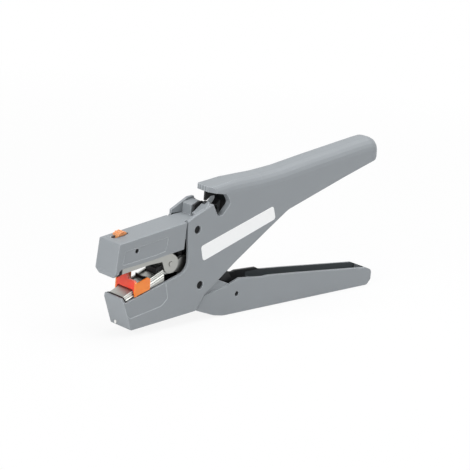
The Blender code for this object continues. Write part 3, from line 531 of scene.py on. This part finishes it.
# %% [markdown]
# ## The label
#
# A white label is stuck on the near side of the body. It is left bare here. A painted patch in the body's material
# would have no edge that catches light. The real one is a sheet of film about 0.1 mm thick with rounded corners, so
# it is modelled as a thin plate that lies on the side wall and rides on the body.

# %% Label
HALF_WIDTH = -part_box("main_body")[0][1]
LABEL_CORNERS = ((51.0, 42.2), (102.4, 57.6), (104.9, 50.2), (53.2, 33.8))
LABEL_CORNER_RADIUS = 1.8
LABEL_THICKNESS = 0.08 * MM


def rounded_outline(corners, radius, steps=6):
    """The outline of a polygon with each corner an arc."""
    outline = []
    for i, corner in enumerate(corners):
        here = Vector(corner)
        before = (Vector(corners[i - 1]) - here).normalized()
        after = (Vector(corners[(i + 1) % len(corners)]) - here).normalized()
        reach = radius / math.tan(before.angle(after) / 2)
        first, last = here + before * reach, here + after * reach
        for k in range(steps + 1):
            share = k / steps
            outline.append(first.lerp(here, share).lerp(here.lerp(last, share), share))
    return outline


def make_label():
    """A thin plate on the body's near side: its outline as one face, pushed out by the film's thickness."""
    bm = bmesh.new()
    points = [
        bm.verts.new((NOSE_X + x * MM, -HALF_WIDTH, z * MM))
        for x, z in rounded_outline(LABEL_CORNERS, LABEL_CORNER_RADIUS)
    ]
    face = bm.faces.new(points)
    bm.normal_update()
    if face.normal.y > 0:
        bmesh.ops.reverse_faces(bm, faces=[face])
    raised = bmesh.ops.extrude_face_region(bm, geom=[face])["geom"]
    outer = [vertex for vertex in raised if isinstance(vertex, bmesh.types.BMVert)]
    bmesh.ops.translate(bm, verts=outer, vec=(0, -LABEL_THICKNESS, 0))
    bmesh.ops.recalc_face_normals(bm, faces=bm.faces)
    mesh = bpy.data.meshes.new("side_label")
    bm.to_mesh(mesh)
    bm.free()
    label = bpy.data.objects.new("side_label", mesh)
    bpy.context.scene.collection.objects.link(label)
    return label


label_film = finish_of(
    "label film",
    linear(254, 255, 255),
    roughness=0.3,
    grain_size=1500.0,
    grain_height=0.004 * MM,
    variation=0.02,
)
side_label = make_label()
side_label.data.materials.append(label_film)
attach(side_label, "body")
print("label:", len(side_label.data.polygons), "faces")

# %% [markdown]
# ## Light, floor and camera
#
# The photograph is a plain studio shot on white. More light would make the background white, but it would bleach the
# tool too. So the world is a plain pale grey that lights the tool, and only the camera and what mirrors it see white.

# %% World
WORLD_COLOUR = (0.62, 0.63, 0.65)
WORLD_STRENGTH = 0.3
WHITE = (1.0, 1.0, 1.0, OPAQUE)

world = bpy.data.worlds.new("studio")
bpy.context.scene.world = world
world.use_nodes = True
sky = world.node_tree
background = sky.nodes["Background"]
background.inputs["Color"].default_value = (*WORLD_COLOUR, OPAQUE)
background.inputs["Strength"].default_value = WORLD_STRENGTH


def seen_white(tree):
    """1 for the rays that should meet a white background: those of the camera, of gloss and through glass."""
    rays = tree.nodes.new("ShaderNodeLightPath").outputs
    share = rays["Is Camera Ray"]
    for kind in ("Is Glossy Ray", "Is Transmission Ray"):
        share = calculate(tree, "MAXIMUM", share, rays[kind])
    return share


def mix_shaders(tree, share, first, second, output):
    """Sends the first shader to the output where share is 0 and the second where it is 1."""
    mix = tree.nodes.new("ShaderNodeMixShader")
    feed(tree, mix.inputs["Fac"], share)
    feed(tree, mix.inputs[1], first.outputs[0])
    feed(tree, mix.inputs[2], second.outputs[0])
    feed(tree, tree.nodes[output].inputs["Surface"], mix.outputs[0])


white = add_node(sky, "ShaderNodeBackground", Color=WHITE, Strength=1.0)
mix_shaders(sky, seen_white(sky), background, white, "World Output")
print("world:", world.name)

# %% [markdown]
# A tool that stands on pure white seems to float. The floor is therefore not quite white to the camera: near the
# tool a small share of its real shading stays, which keeps a faint shadow. The share fades out further away, so that
# the floor has no edge against the world.

# %% Floor
FLOOR_Z = -0.2 * MM
FLOOR_REACH = 1.6
FLOOR_WHITE_SHARE = 0.88
SHADOW_FADES_FROM = 0.15
SHADOW_FADES_TO = 0.6

floor_mesh = bpy.data.meshes.new("floor")
floor_mesh.from_pydata(
    [(x * FLOOR_REACH, y * FLOOR_REACH, FLOOR_Z) for x, y in ((-1, -1), (1, -1), (1, 1), (-1, 1))],
    [],
    [(0, 1, 2, 3)],
)
floor = bpy.data.objects.new("floor", floor_mesh)
bpy.context.scene.collection.objects.link(floor)
floor_look, floor_tree, floor_shader = new_material("studio floor", (0.9, 0.9, 0.9), 0.7)
floor_point = floor_tree.nodes.new("ShaderNodeNewGeometry").outputs["Position"]
away = floor_tree.nodes.new("ShaderNodeVectorMath")
away.operation = "LENGTH"
feed(floor_tree, away.inputs[0], floor_point)
fade = add_node(
    floor_tree,
    "ShaderNodeMapRange",
    Value=away.outputs["Value"],
    From_Min=SHADOW_FADES_FROM,
    From_Max=SHADOW_FADES_TO,
    To_Min=FLOOR_WHITE_SHARE,
    To_Max=1.0,
)
nearly_white = calculate(floor_tree, "MULTIPLY", seen_white(floor_tree), fade.outputs[0])
glow = add_node(floor_tree, "ShaderNodeEmission", Color=WHITE)
mix_shaders(floor_tree, nearly_white, floor_shader, glow, "Material Output")
floor.data.materials.append(floor_look)
print("floor at", FLOOR_Z)

# %% [markdown]
# The top faces are the palest in the photograph, the jaws' fronts follow, and the near side is darker and fades
# toward the jaws. So a wide soft lamp hangs above, a weaker one stands before the jaws, and a small one fills the
# near side from behind the handle. Large lamps give the soft shadows of a studio. Their power keeps the pale label
# below pure white.

# %% Lamps
bpy.context.scene.view_settings.view_transform = "Standard"
LIT_POINT = (0.0, 0.0, 0.04)


def area_lamp(name, place, size, power):
    """A round soft lamp that faces the middle of the tool."""
    lamp = bpy.data.lights.new(name, "AREA")
    lamp.shape = "DISK"
    lamp.size = size
    lamp.energy = power
    made = bpy.data.objects.new(name, lamp)
    bpy.context.scene.collection.objects.link(made)
    made.location = place
    made.rotation_euler = (Vector(LIT_POINT) - Vector(place)).to_track_quat("-Z", "Y").to_euler()


area_lamp("overhead softbox", (0.16, -0.08, 0.8), 0.9, 5.4)
area_lamp("front softbox", (-0.9, -0.2, 0.42), 0.7, 5.3)
area_lamp("side fill", (0.28, -0.4, 0.42), 0.4, 0.5)
print("three lamps are set")

# %% [markdown]
# The camera stands in front of the jaws' corner, a little above, and the tool leans clockwise in the picture. Its
# distance and lens come from how fast the tool's far end shrinks in the photograph.

# %% Camera
AIM = (83.26 * MM, 0.0, 41.87 * MM)
AZIMUTH = math.radians(45.0)
ELEVATION = math.radians(16.0)
ROLL = math.radians(5.0)
DISTANCE = 1.2
FOCAL_SHARE = 2244 / 470
SENSOR = 36.0
FARTHEST_SEEN = 20.0

camera_data = bpy.data.cameras.new("photo camera")
camera_data.sensor_width = SENSOR
camera_data.lens = FOCAL_SHARE * SENSOR
camera_data.clip_end = FARTHEST_SEEN
camera = bpy.data.objects.new("photo camera", camera_data)
bpy.context.scene.collection.objects.link(camera)
bpy.context.scene.camera = camera
aim = Vector((NOSE_X + AIM[0], AIM[1], AIM[2]))
level_share = math.cos(ELEVATION)
towards = Vector((-math.sin(AZIMUTH) * level_share, -math.cos(AZIMUTH) * level_share, math.sin(ELEVATION)))
camera.location = aim + towards * DISTANCE
level = (-towards).to_track_quat("-Z", "Y").to_matrix().to_4x4()
camera.matrix_world = Matrix.Translation(camera.location) @ level @ Matrix.Rotation(ROLL, 4, "Z")
print("camera at", [round(value, 3) for value in camera.location])
